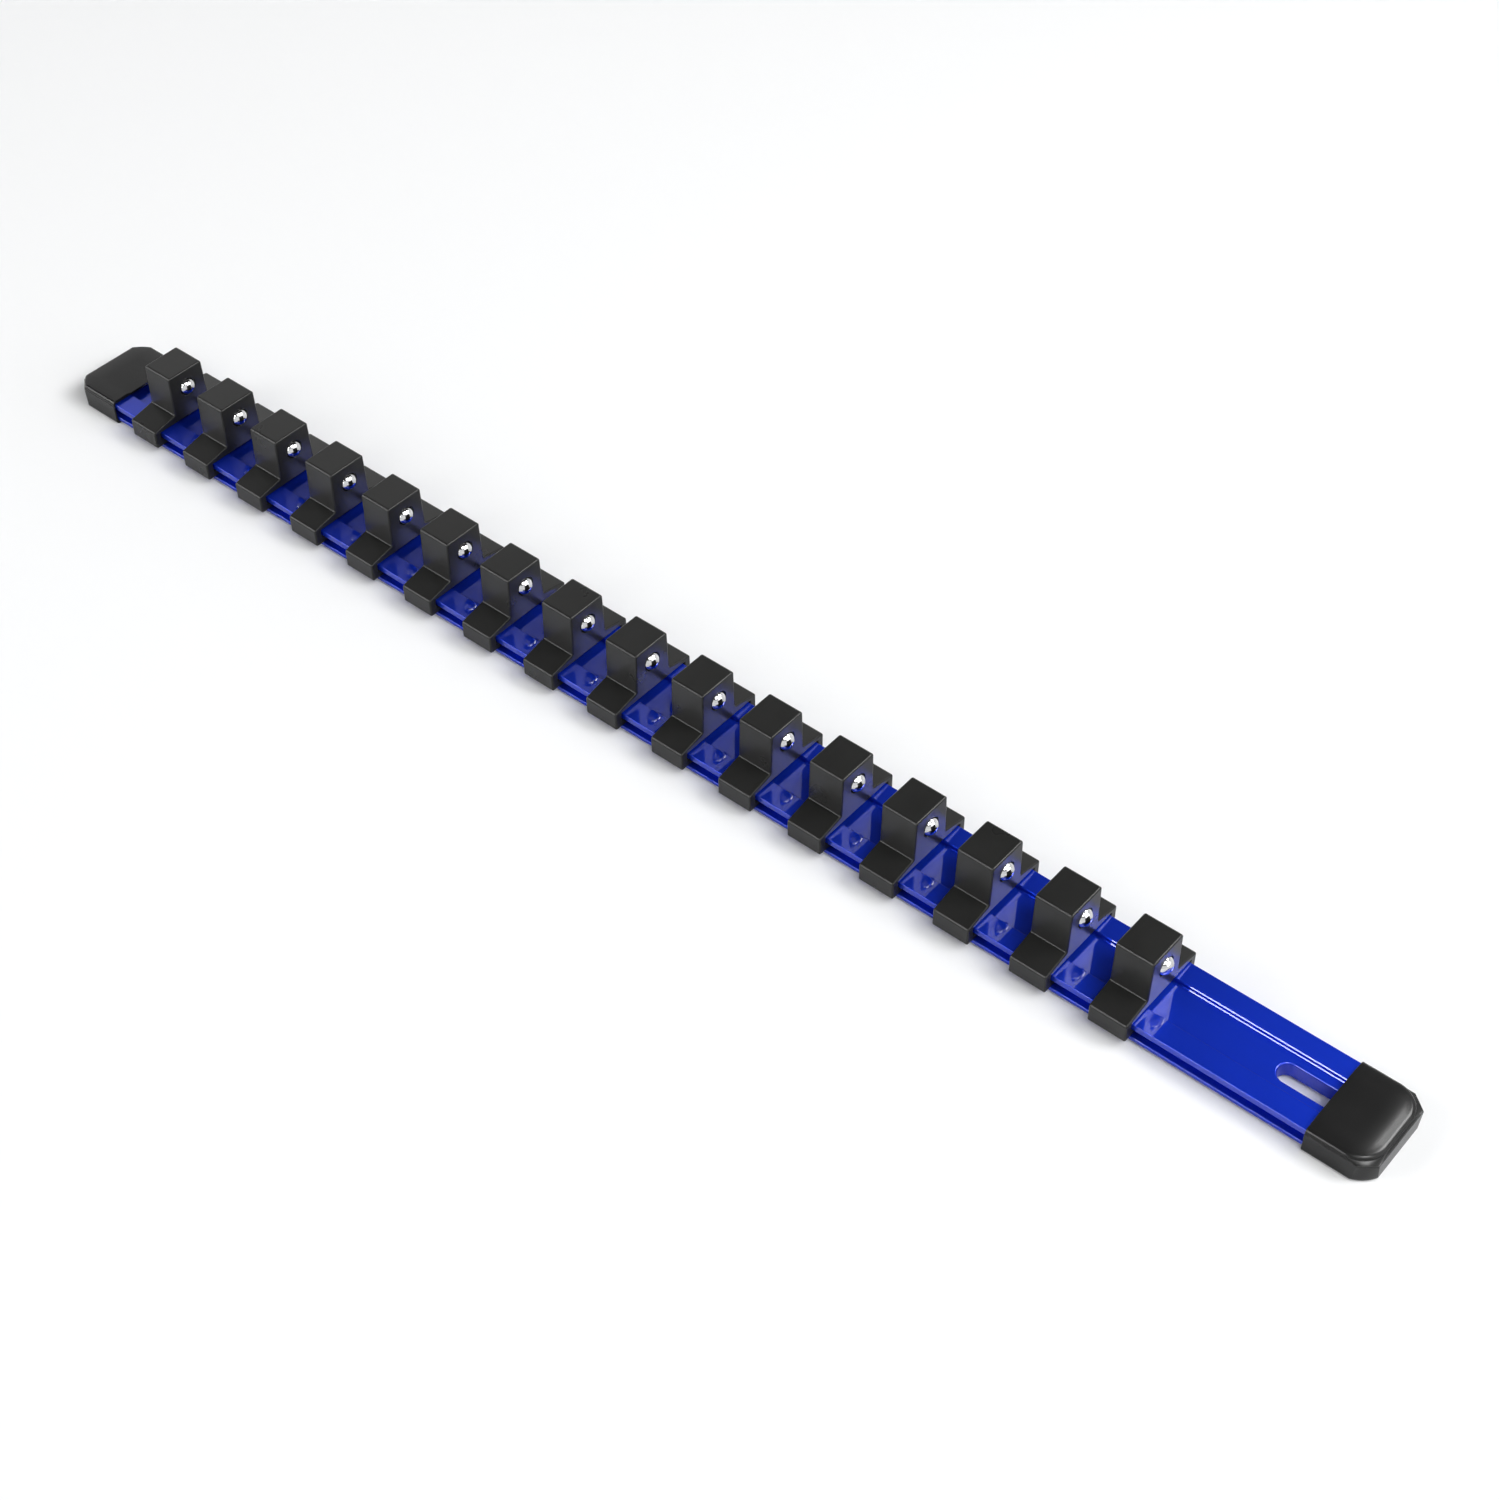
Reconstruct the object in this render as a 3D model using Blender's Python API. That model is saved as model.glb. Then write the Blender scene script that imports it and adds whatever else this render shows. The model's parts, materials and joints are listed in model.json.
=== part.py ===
# Socket rail: a blue anodised extrusion with a black cap on each end. Sixteen black clips slide along it, each with
# a post for a square-drive socket and a sprung steel ball in the post's right face.
# Metres, +Z up. X runs along the rail, with the slotted end at +X, and Y runs from front to back.
# The origin is under the middle of the rail, on the surface that the caps stand on.

import math

import bmesh
import bpy
from mathutils import Vector

# Clearance between pieces that touch or slide, and how far a cutter runs past what it cuts
FIT_GAP = 0.0003
CUT_OVERRUN = 0.001

# Rail: a flat bar with a channel along the top, a groove in each long side and cut corners
RAIL_LENGTH = 0.441
RAIL_WIDTH = 0.0244
RAIL_HEIGHT = 0.0058
CHANNEL_WIDTH = 0.0117
CHANNEL_DEPTH = 0.00135
CHANNEL_ROOT_RADIUS = 0.0003
UPPER_LIP_HEIGHT = 0.0019
LOWER_LIP_HEIGHT = 0.0012
GROOVE_DEPTH = 0.0024
LIP_EDGE_RADIUS = 0.0004
SMALL_EDGE_RADIUS = 0.0002
CORNER_CUT_LENGTH = 0.004
CORNER_CUT_WIDTH = 0.0032

# Slot through the web, near the right end
SLOT_LENGTH = 0.0178
SLOT_WIDTH = 0.0058
SLOT_TO_RAIL_END = 0.0115
SLOT_RIM_BEVEL = 0.0002

# End cap: a sleeve that is closed at its far end, with a soft crowned top
CAP_LENGTH = 0.0176
CAP_SIDE_WALL = 0.0005
CAP_FLOOR = 0.0009
CAP_ROOF = 0.0009
CAP_END_WALL = 0.0025
CAP_FOOT_BEVEL = 0.001
CAP_LEDGE_SIDE = 0.0003
CAP_LEDGE_END = 0.0005
CAP_LEDGE_RISE = 0.0005
CAP_PAD_CORNER_RADIUS = 0.0075
CAP_ROUNDOVER_REACH = 0.002
CAP_ROUNDOVER_RISE = 0.001
CAP_CROWN_RISE = 0.0002
CAP_CROWN_REACH = 0.004

# Clip: sloping shoulders that carry the post, and side walls with tongues that go into the rail's grooves
CLIP_COUNT = 16
CLIP_LENGTH = 0.0108
FIRST_CLIP_TO_CAP = 0.0104
LAST_CLIP_TO_CAP = 0.0467
CLIP_WALL = 0.00235
SHOULDER_ROOT_THICKNESS = 0.0028
SHOULDER_END_THICKNESS = 0.00105
POST_RISE = 0.0129
POST_TOP_WIDTH = 0.0124
POST_FOOT_WIDTH = 0.0131
POST_EDGE_RADIUS = 0.0007
SHOULDER_EDGE_RADIUS = 0.0007
CLIP_END_BEVEL = 0.0005

# Detent: the ball, the bore that holds it and the spring behind it
BALL_DIAMETER = 0.0054
BALL_TO_POST_TOP = 0.006
BALL_PROTRUSION = 0.0016
BORE_DIAMETER = 0.0062
BORE_DEPTH = 0.0085
SPRING_DIAMETER = 0.0045
SPRING_WIRE_DIAMETER = 0.0005
SPRING_TURNS = 3.5

# Facets
ROUND_STEPS = 2
CAP_CORNER_STEPS = 7
CAP_ROUNDOVER_STEPS = 4
SLOT_END_STEPS = 10
BORE_SIDES = 12
BALL_SEGMENTS = 14
BALL_RINGS = 8
SPRING_STEPS_PER_TURN = 8
SPRING_WIRE_SIDES = 4
SMOOTH_ANGLE = math.radians(35)

# Places that follow from the sizes
RAIL_BOTTOM_Z = CAP_FLOOR + FIT_GAP
RAIL_TOP_Z = RAIL_BOTTOM_Z + RAIL_HEIGHT
CHANNEL_FLOOR_Z = RAIL_TOP_Z - CHANNEL_DEPTH
CAP_TOP_Z = RAIL_TOP_Z + FIT_GAP + CAP_ROOF
CAP_WIDTH = RAIL_WIDTH + 2 * (FIT_GAP + CAP_SIDE_WALL)
CAP_MOUTH_X = RAIL_LENGTH / 2 + FIT_GAP + CAP_END_WALL - CAP_LENGTH
CLIP_BASE_Z = RAIL_TOP_Z + FIT_GAP
POST_FOOT_Z = CLIP_BASE_Z + SHOULDER_ROOT_THICKNESS
POST_TOP_Z = POST_FOOT_Z + POST_RISE
FIRST_CLIP_X = -CAP_MOUTH_X + FIRST_CLIP_TO_CAP + CLIP_LENGTH / 2
LAST_CLIP_X = CAP_MOUTH_X - LAST_CLIP_TO_CAP - CLIP_LENGTH / 2
CLIP_PITCH = (LAST_CLIP_X - FIRST_CLIP_X) / (CLIP_COUNT - 1)
BALL_Z = POST_TOP_Z - BALL_TO_POST_TOP
BALL_SEAT_DEPTH = BALL_DIAMETER / 2 - BALL_PROTRUSION
SLOT_CENTRE_X = RAIL_LENGTH / 2 - SLOT_TO_RAIL_END - SLOT_LENGTH / 2


def clear_scene():
    for item in list(bpy.data.objects):
        bpy.data.objects.remove(item, do_unlink=True)


def make_material(name, colour, roughness, metallic):
    material = bpy.data.materials.new(name)
    material.use_nodes = True
    shader = material.node_tree.nodes["Principled BSDF"]
    shader.inputs["Base Color"].default_value = (*colour, 1.0)
    shader.inputs["Roughness"].default_value = roughness
    shader.inputs["Metallic"].default_value = metallic
    material.diffuse_color = (*colour, 1.0)
    return material


def rounded_outline(corners):
    """Closed outline through (across, up, radius) corners, each replaced by an arc of its radius."""
    outline = []
    for index, (across, up, radius) in enumerate(corners):
        corner = Vector((across, up))
        if radius == 0:
            outline.append(corner)
            continue
        before = Vector(corners[index - 1][:2]) - corner
        after = Vector(corners[(index + 1) % len(corners)][:2]) - corner
        before.normalize()
        after.normalize()
        half_angle = before.angle(after) / 2
        centre = corner + (before + after).normalized() * (radius / math.sin(half_angle))
        reach = radius / math.tan(half_angle)
        start = (corner + before * reach - centre).normalized()
        end = (corner + after * reach - centre).normalized()
        for step in range(ROUND_STEPS + 1):
            outline.append(centre + start.slerp(end, step / ROUND_STEPS) * radius)
    return outline


def mirrored(half_corners):
    """Corners of a section that is symmetric about Y = 0, from those of its back half, listed top to bottom."""
    return half_corners + [(-across, up, radius) for across, up, radius in reversed(half_corners)]


def inset_outline(outline, distance):
    """The outline moved inwards by the distance. The outline runs clockwise."""
    moved = []
    for index, point in enumerate(outline):
        arriving = (point - outline[index - 1]).normalized()
        leaving = (outline[(index + 1) % len(outline)] - point).normalized()
        inward = Vector((arriving.y, -arriving.x)) + Vector((leaving.y, -leaving.x))
        inward.normalize()
        lean = inward.dot(Vector((leaving.y, -leaving.x)))
        moved.append(point + inward * (distance / lean))
    return moved


def loft(rings, closed_rings=True):
    """Mesh through rings of 3-D points. Open rings get a flat side that joins their ends."""
    shape = bmesh.new()
    loops = [[shape.verts.new(point) for point in ring] for ring in rings]
    count = len(loops[0])
    for lower, upper in zip(loops, loops[1:]):
        for index in range(count if closed_rings else count - 1):
            following = (index + 1) % count
            shape.faces.new((lower[index], lower[following], upper[following], upper[index]))
    shape.faces.new(loops[0])
    shape.faces.new(loops[-1])
    if not closed_rings:
        starts = [loop[0] for loop in loops]
        ends = [loop[-1] for loop in reversed(loops)]
        shape.faces.new(starts + ends)
    bmesh.ops.recalc_face_normals(shape, faces=shape.faces)
    return shape


def along_x(outline, x):
    """A section's (across, up) outline as 3-D points at x."""
    return [(x, point.x, point.y) for point in outline]


def add_object(name, shape, material, location):
    """An object with its mesh made from the bmesh, whose points are relative to the location."""
    mesh = bpy.data.meshes.new(name)
    shape.to_mesh(mesh)
    shape.free()
    mesh.shade_smooth()
    mesh.set_sharp_from_angle(angle=SMOOTH_ANGLE)
    return add_copy(name, mesh, material, location)


def add_copy(name, mesh, material, location):
    """An object that shares a mesh with its like."""
    item = bpy.data.objects.new(name, mesh)
    item.location = location
    bpy.context.scene.collection.objects.link(item)
    if material is not None and not mesh.materials:
        mesh.materials.append(material)
    return item


def add_cutter(name, shape, location):
    cutter = add_object(name, shape, None, location)
    cutter.hide_render = True
    cutter.display_type = "WIRE"
    return cutter


def cut_mesh(item, cutters):
    """The item's mesh with the cutters taken out of it, after which the item and its cutters go."""
    for cutter in cutters:
        boolean = item.modifiers.new(cutter.name, "BOOLEAN")
        boolean.operation = "DIFFERENCE"
        boolean.solver = "EXACT"
        boolean.object = cutter
    graph = bpy.context.evaluated_depsgraph_get()
    mesh = bpy.data.meshes.new_from_object(item.evaluated_get(graph))
    mesh.name = item.name
    mesh.shade_smooth()
    mesh.set_sharp_from_angle(angle=SMOOTH_ANGLE)
    for used in [item, *cutters]:
        bpy.data.objects.remove(used, do_unlink=True)
    return mesh


# Rail
def rail_section():
    """Clockwise section about the rail's bottom centre, from the channel's floor round to the underside."""
    half_width = RAIL_WIDTH / 2
    groove_root = half_width - GROOVE_DEPTH
    channel_side = CHANNEL_WIDTH / 2
    channel_floor = RAIL_HEIGHT - CHANNEL_DEPTH
    upper_lip = RAIL_HEIGHT - UPPER_LIP_HEIGHT
    back_half = [
        (channel_side, channel_floor, CHANNEL_ROOT_RADIUS),
        (channel_side, RAIL_HEIGHT, SMALL_EDGE_RADIUS),
        (half_width, RAIL_HEIGHT, LIP_EDGE_RADIUS),
        (half_width, upper_lip, SMALL_EDGE_RADIUS),
        (groove_root, upper_lip, SMALL_EDGE_RADIUS),
        (groove_root, LOWER_LIP_HEIGHT, SMALL_EDGE_RADIUS),
        (half_width, LOWER_LIP_HEIGHT, SMALL_EDGE_RADIUS),
        (half_width, 0, LIP_EDGE_RADIUS),
    ]
    return rounded_outline(mirrored(back_half))


def slot_ring(growth, z):
    """Oblong ring about the slot's centre, grown outwards all round."""
    radius = SLOT_WIDTH / 2 + growth
    centre_x = (SLOT_LENGTH - SLOT_WIDTH) / 2
    ring = []
    for side in (1, -1):
        for step in range(SLOT_END_STEPS + 1):
            turn = math.pi * (step / SLOT_END_STEPS - 1 / 2)
            ring.append((side * (centre_x + radius * math.cos(turn)), side * radius * math.sin(turn), z))
    return ring


def slot_cutter():
    """The slot's hole with its bevelled rim, relative to the channel's floor."""
    web = RAIL_HEIGHT - CHANNEL_DEPTH
    return loft(
        [
            slot_ring(0, -web - CUT_OVERRUN),
            slot_ring(0, -SLOT_RIM_BEVEL),
            slot_ring(SLOT_RIM_BEVEL, 0),
            slot_ring(SLOT_RIM_BEVEL, CUT_OVERRUN),
        ]
    )


def corner_cutter():
    """Four upright wedges, one for each corner of the rail, relative to the rail's bottom centre."""
    low = -CUT_OVERRUN
    high = RAIL_HEIGHT + CUT_OVERRUN
    steepness = CORNER_CUT_WIDTH / CORNER_CUT_LENGTH
    shape = bmesh.new()
    for end, side in ((1, 1), (1, -1), (-1, 1), (-1, -1)):
        outside = Vector((RAIL_LENGTH / 2 + CUT_OVERRUN, RAIL_WIDTH / 2 + CUT_OVERRUN))
        along = outside.x - CORNER_CUT_LENGTH - CUT_OVERRUN * (1 + 1 / steepness)
        across = outside.y - CORNER_CUT_WIDTH - CUT_OVERRUN * (1 + steepness)
        plan = [(outside.x, outside.y), (along, outside.y), (outside.x, across)]
        floor = [shape.verts.new((end * x, side * y, low)) for x, y in plan]
        roof = [shape.verts.new((end * x, side * y, high)) for x, y in plan]
        shape.faces.new(floor)
        shape.faces.new(roof)
        for index in range(len(plan)):
            following = (index + 1) % len(plan)
            shape.faces.new((floor[index], floor[following], roof[following], roof[index]))
    bmesh.ops.recalc_face_normals(shape, faces=shape.faces)
    return shape


def add_rail(material):
    section = rail_section()
    shape = loft([along_x(section, -RAIL_LENGTH / 2), along_x(section, RAIL_LENGTH / 2)])
    rail = add_object("rail", shape, None, (0, 0, 0))
    cutters = [
        add_cutter("slot_cutter", slot_cutter(), (SLOT_CENTRE_X, 0, RAIL_HEIGHT - CHANNEL_DEPTH)),
        add_cutter("corner_cutter", corner_cutter(), (0, 0, 0)),
    ]
    add_copy("rail", cut_mesh(rail, cutters), material, (0, 0, RAIL_BOTTOM_Z))


# End caps
def cut_corner(end_x, side_y, shrink):
    """Points along the straight cut at the far back corner, with both its legs shorter by the shrink."""
    start = Vector((end_x - CORNER_CUT_LENGTH + shrink, side_y))
    end = Vector((end_x, side_y - CORNER_CUT_WIDTH + shrink))
    return [start.lerp(end, step / CAP_CORNER_STEPS) for step in range(CAP_CORNER_STEPS + 1)]


def round_corner(end_x, side_y, radius):
    """Points round an arc at the far back corner."""
    centre = Vector((end_x - radius, side_y - radius))
    turns = [math.pi / 2 * step / CAP_CORNER_STEPS for step in range(CAP_CORNER_STEPS + 1)]
    return [centre + Vector((math.sin(turn), math.cos(turn))) * radius for turn in turns]


def cap_ring(side_inset, end_inset, z, radius=0):
    """Open ring from the mouth's back edge, round the far end, to the mouth's front edge."""
    side_y = CAP_WIDTH / 2 - side_inset
    end_x = CAP_LENGTH - end_inset
    if radius == 0:
        corner = cut_corner(end_x, side_y, side_inset / 2)
    else:
        corner = round_corner(end_x, side_y, radius)
    half = [(0, side_y)] + [(point.x, point.y) for point in corner]
    plan = half + [(x, -y) for x, y in reversed(half)]
    return [(x, y, z) for x, y in plan]


def cap_shape():
    """Upright walls with cut corners, a narrow ledge, then a pad whose edge rolls over into a low crown."""
    top_z = CAP_TOP_Z - CAP_CROWN_RISE
    pad_z = top_z - CAP_ROUNDOVER_RISE
    rings = [
        cap_ring(CAP_FOOT_BEVEL, CAP_FOOT_BEVEL, 0),
        cap_ring(0, 0, CAP_FOOT_BEVEL),
        cap_ring(0, 0, pad_z - CAP_LEDGE_RISE),
    ]
    for step in range(CAP_ROUNDOVER_STEPS + 1):
        turn = math.pi / 2 * step / CAP_ROUNDOVER_STEPS
        reach = CAP_ROUNDOVER_REACH * (1 - math.cos(turn))
        rise = CAP_ROUNDOVER_RISE * math.sin(turn)
        radius = CAP_PAD_CORNER_RADIUS - reach
        rings.append(cap_ring(CAP_LEDGE_SIDE + reach, CAP_LEDGE_END + reach, pad_z + rise, radius))
    crown_radius = CAP_PAD_CORNER_RADIUS - CAP_ROUNDOVER_REACH
    side_inset = CAP_LEDGE_SIDE + CAP_ROUNDOVER_REACH + CAP_CROWN_REACH
    end_inset = CAP_LEDGE_END + CAP_ROUNDOVER_REACH + CAP_CROWN_REACH
    rings.append(cap_ring(side_inset, end_inset, CAP_TOP_Z, crown_radius))
    return loft(rings, closed_rings=False)


def cavity_outline(narrowing):
    """Section of the space for the rail, whose corners follow the rail's rounded edges."""
    half_width = RAIL_WIDTH / 2 + FIT_GAP - narrowing
    low = RAIL_BOTTOM_Z - FIT_GAP
    high = RAIL_TOP_Z + FIT_GAP
    radius = LIP_EDGE_RADIUS + FIT_GAP
    return rounded_outline(mirrored([(half_width, high, radius), (half_width, low, radius)]))


def cap_cavity():
    """The space for the rail's end, open at the mouth and drawn in at the rail's cut corners."""
    far_x = CAP_LENGTH - CAP_END_WALL
    return loft(
        [
            along_x(cavity_outline(0), -CUT_OVERRUN),
            along_x(cavity_outline(0), far_x - CORNER_CUT_LENGTH),
            along_x(cavity_outline(CORNER_CUT_WIDTH), far_x),
        ]
    )


def add_caps(material):
    """The same moulding at each end, turned half round for the left one."""
    cap = add_object("end_cap", cap_shape(), None, (0, 0, 0))
    mesh = cut_mesh(cap, [add_cutter("cap_cavity_cutter", cap_cavity(), (0, 0, 0))])
    add_copy("end_cap_right", mesh, material, (CAP_MOUTH_X, 0, 0))
    left = add_copy("end_cap_left", mesh, material, (-CAP_MOUTH_X, 0, 0))
    left.rotation_euler = (0, 0, math.pi)


# Clips
def clip_section():
    """Clockwise section about the rail's top, from the post's top down the back to the tongue and the underside."""
    base = FIT_GAP
    wall_inside = RAIL_WIDTH / 2 + FIT_GAP
    wall_outside = wall_inside + CLIP_WALL
    tongue_tip = RAIL_WIDTH / 2 - GROOVE_DEPTH + FIT_GAP
    tongue_top = -UPPER_LIP_HEIGHT - FIT_GAP
    wall_foot = LOWER_LIP_HEIGHT - RAIL_HEIGHT + FIT_GAP
    post_foot = base + SHOULDER_ROOT_THICKNESS
    back_half = [
        (POST_TOP_WIDTH / 2, post_foot + POST_RISE, POST_EDGE_RADIUS),
        (POST_FOOT_WIDTH / 2, post_foot, 0),
        (wall_outside, base + SHOULDER_END_THICKNESS, SHOULDER_EDGE_RADIUS),
        (wall_outside, wall_foot, 0),
        (tongue_tip, wall_foot, 0),
        (tongue_tip, tongue_top, 0),
        (wall_inside, tongue_top, 0),
        (wall_inside, base, 0),
    ]
    return rounded_outline(mirrored(back_half))


def clip_shape():
    """The section carried along the rail, with its end edges bevelled. The origin is on the rail's top."""
    section = clip_section()
    narrowed = inset_outline(section, CLIP_END_BEVEL)
    half_length = CLIP_LENGTH / 2
    inner_x = half_length - CLIP_END_BEVEL
    return loft(
        [
            along_x(narrowed, -half_length),
            along_x(section, -inner_x),
            along_x(section, inner_x),
            along_x(narrowed, half_length),
        ]
    )


def bore_ring(x):
    """Ring round the bore's axis at x."""
    turns = [math.tau * side / BORE_SIDES for side in range(BORE_SIDES)]
    radius = BORE_DIAMETER / 2
    return [(x, radius * math.cos(turn), radius * math.sin(turn)) for turn in turns]


def bore_shape():
    """The blind bore for the ball and its spring, relative to the centre of its mouth."""
    return loft([bore_ring(CUT_OVERRUN), bore_ring(-BORE_DEPTH)])


def clip_mesh():
    clip = add_object("clip", clip_shape(), None, (0, 0, 0))
    return cut_mesh(clip, [add_cutter("bore_cutter", bore_shape(), (CLIP_LENGTH / 2, 0, BALL_Z - RAIL_TOP_Z))])


def ball_mesh():
    shape = bmesh.new()
    bmesh.ops.create_uvsphere(shape, u_segments=BALL_SEGMENTS, v_segments=BALL_RINGS, radius=BALL_DIAMETER / 2)
    mesh = bpy.data.meshes.new("ball")
    shape.to_mesh(mesh)
    shape.free()
    mesh.shade_smooth()
    return mesh


def spring_mesh(length):
    """Open coil along X, with its fixed end's wire centre half a wire in front of the origin."""
    coil_radius = (SPRING_DIAMETER - SPRING_WIRE_DIAMETER) / 2
    wire_radius = SPRING_WIRE_DIAMETER / 2
    steps = round(SPRING_TURNS * SPRING_STEPS_PER_TURN)
    rings = []
    for step in range(steps + 1):
        share = step / steps
        turn = math.tau * SPRING_TURNS * share
        outward = Vector((0, math.cos(turn), math.sin(turn)))
        centre = outward * coil_radius
        centre.x = wire_radius + (length - SPRING_WIRE_DIAMETER) * share
        ring = []
        for side in range(SPRING_WIRE_SIDES):
            around = math.tau * side / SPRING_WIRE_SIDES
            offset = outward * math.cos(around) + Vector((1, 0, 0)) * math.sin(around)
            ring.append(centre + offset * wire_radius)
        rings.append(ring)
    shape = loft(rings)
    mesh = bpy.data.meshes.new("spring")
    shape.to_mesh(mesh)
    shape.free()
    mesh.shade_smooth()
    return mesh


def spring_front_depth():
    """How far inside the clip's face the spring's front end is: just behind where its coil meets the ball."""
    coil_radius = (SPRING_DIAMETER - SPRING_WIRE_DIAMETER) / 2
    reach = BALL_DIAMETER / 2 + FIT_GAP + SPRING_WIRE_DIAMETER / 2
    return BALL_SEAT_DEPTH + math.sqrt(reach**2 - coil_radius**2) - SPRING_WIRE_DIAMETER / 2


def add_clips(clip_material, ball_material, spring_material):
    """The row of clips from the left, each with its ball and spring. A clip's origin is on the rail's top."""
    clips = clip_mesh()
    balls = ball_mesh()
    spring_back_depth = BORE_DEPTH - FIT_GAP
    springs = spring_mesh(spring_back_depth - spring_front_depth())
    for number in range(CLIP_COUNT):
        x = FIRST_CLIP_X + number * CLIP_PITCH
        face_x = x + CLIP_LENGTH / 2
        label = f"{number + 1:02d}"
        add_copy(f"clip_{label}", clips, clip_material, (x, 0, RAIL_TOP_Z))
        add_copy(f"ball_{label}", balls, ball_material, (face_x - BALL_SEAT_DEPTH, 0, BALL_Z))
        add_copy(f"spring_{label}", springs, spring_material, (face_x - spring_back_depth, 0, BALL_Z))


def main():
    clear_scene()
    anodised = make_material("blue_anodised_aluminium", (0.012, 0.035, 0.52), 0.22, 1.0)
    clip_plastic = make_material("black_clip_plastic", (0.028, 0.028, 0.026), 0.5, 0.0)
    cap_plastic = make_material("black_cap_plastic", (0.024, 0.024, 0.024), 0.38, 0.0)
    polished_steel = make_material("polished_steel", (0.78, 0.78, 0.8), 0.08, 1.0)
    spring_steel = make_material("spring_steel", (0.55, 0.55, 0.56), 0.3, 1.0)
    add_rail(anodised)
    add_caps(cap_plastic)
    add_clips(clip_plastic, polished_steel, spring_steel)


main()
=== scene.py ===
# Socket rail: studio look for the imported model. A blue anodised bar with two black end caps carries
# sixteen black clips, each with a sprung steel ball in the right face of its post.
import json
import math
import bmesh
import bpy
import numpy as np
from mathutils import Matrix, Vector

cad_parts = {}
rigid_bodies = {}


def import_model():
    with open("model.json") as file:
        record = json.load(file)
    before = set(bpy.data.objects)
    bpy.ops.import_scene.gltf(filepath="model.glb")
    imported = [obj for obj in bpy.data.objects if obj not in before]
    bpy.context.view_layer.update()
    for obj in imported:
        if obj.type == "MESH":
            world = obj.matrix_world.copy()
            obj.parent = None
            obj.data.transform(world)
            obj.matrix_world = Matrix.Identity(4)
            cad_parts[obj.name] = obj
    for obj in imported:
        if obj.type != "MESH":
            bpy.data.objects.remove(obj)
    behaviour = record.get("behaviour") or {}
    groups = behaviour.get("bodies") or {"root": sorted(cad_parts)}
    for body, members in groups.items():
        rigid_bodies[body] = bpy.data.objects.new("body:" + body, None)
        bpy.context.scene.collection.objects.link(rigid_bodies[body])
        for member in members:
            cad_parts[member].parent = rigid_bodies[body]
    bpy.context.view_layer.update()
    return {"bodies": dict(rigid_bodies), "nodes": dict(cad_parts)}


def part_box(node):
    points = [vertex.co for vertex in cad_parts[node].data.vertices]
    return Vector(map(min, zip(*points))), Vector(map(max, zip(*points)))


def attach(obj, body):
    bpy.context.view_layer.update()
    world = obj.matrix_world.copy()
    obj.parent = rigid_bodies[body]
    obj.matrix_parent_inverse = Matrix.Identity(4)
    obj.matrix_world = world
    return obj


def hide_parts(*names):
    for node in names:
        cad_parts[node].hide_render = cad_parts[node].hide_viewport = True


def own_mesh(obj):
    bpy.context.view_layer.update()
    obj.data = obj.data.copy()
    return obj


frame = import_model()

keptObjects = set(frame["nodes"].values()) | set(frame["bodies"].values())
for startupObject in [item for item in bpy.data.objects if item not in keptObjects]:
    bpy.data.objects.remove(startupObject)

scene = bpy.context.scene
scene.view_settings.view_transform = "Standard"

railLow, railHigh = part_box("rail")
clipCount = 16
clipLabels = [f"{number:02d}" for number in range(1, clipCount + 1)]
quarterTurn = math.pi / 2
print("frame loaded:", len(frame["nodes"]), "nodes")


cameraLook = {
    "place": (0.3248064, -0.3424248, 0.47178),
    "azimuth": 40.5315,     # degrees that the view turns left from +Y
    "elevation": 45.9733,   # degrees down
    "roll": -0.6343,
    "lens": 60.035, "sensorWidth": 36, "clipStart": 0.01,
}


def addCamera(look):
    # forward = (-sin a cos e, cos a cos e, -sin e), and the roll turns right and up about it
    azimuth, elevation, roll = (math.radians(look[key]) for key in ("azimuth", "elevation", "roll"))
    forward = Vector((
        -math.sin(azimuth) * math.cos(elevation),
        math.cos(azimuth) * math.cos(elevation),
        -math.sin(elevation),
    ))
    level = Vector((math.cos(azimuth), math.sin(azimuth), 0))
    upright = level.cross(forward)
    right = level * math.cos(roll) + upright * math.sin(roll)
    up = upright * math.cos(roll) - level * math.sin(roll)
    camera = bpy.data.cameras.new("camera")
    camera.lens = look["lens"]
    camera.sensor_width = look["sensorWidth"]
    camera.clip_start = look["clipStart"]
    item = bpy.data.objects.new("camera", camera)
    scene.collection.objects.link(item)
    matrix = Matrix((right, up, -forward)).transposed().to_4x4()
    matrix.translation = look["place"]
    item.matrix_world = matrix
    scene.camera = item


lightLook = {
    # name: (place, aims at, width, height, watts, what it lights)
    "rightBox": ((0.84, 0.42, 1.04), (0, 0, 0), 0.6, 0.6, 8.8, "matt"),
    "frontFill": ((-0.75, -0.95, 0.75), (0, 0, 0), 0.8, 0.6, 5.5, "matt"),
    "rightPanel": ((1.16, 0.3, 0.68), (0, 0, 0), 1.2, 0.9, 5.0, "all"),
    "frontRightPanel": ((0.75, -0.3, 1.15), (0, 0, 0), 1.0, 0.7, 7.0, "all"),
    "leftPanel": ((-1.05, 0.53, 0.76), (0, 0, 0), 0.9, 0.7, 1.5, "all"),
    # the patches on the clips' right faces, the light lines on the channel's steps and on the clips' edges,
    # the right cap's near corner, and the fronts
    "backGlint": ((0.325, 0.342, 0.472), (0, 0, 0), 0.2, 0.2, 2.6, "glossy"),
    "stepStrip": ((-0.09, -0.86, 0.634), (0.178, 0, 0), 0.24, 0.25, 4.2, "glossy"),
    "edgeStrip": ((-0.75, -0.86, 0.63), (-0.1, 0, 0), 1.0, 0.2, 9.5, "glossy"),
    "cornerGlint": ((0.65, -0.08, 1.12), (0.21, 0, 0), 0.25, 0.25, 4.0, "glossy"),
    "frontStrip": ((-1.0, -2.0, 0.40), (-0.2, 0, 0), 3.0, 0.5, 18, "glossy"),
}

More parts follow.
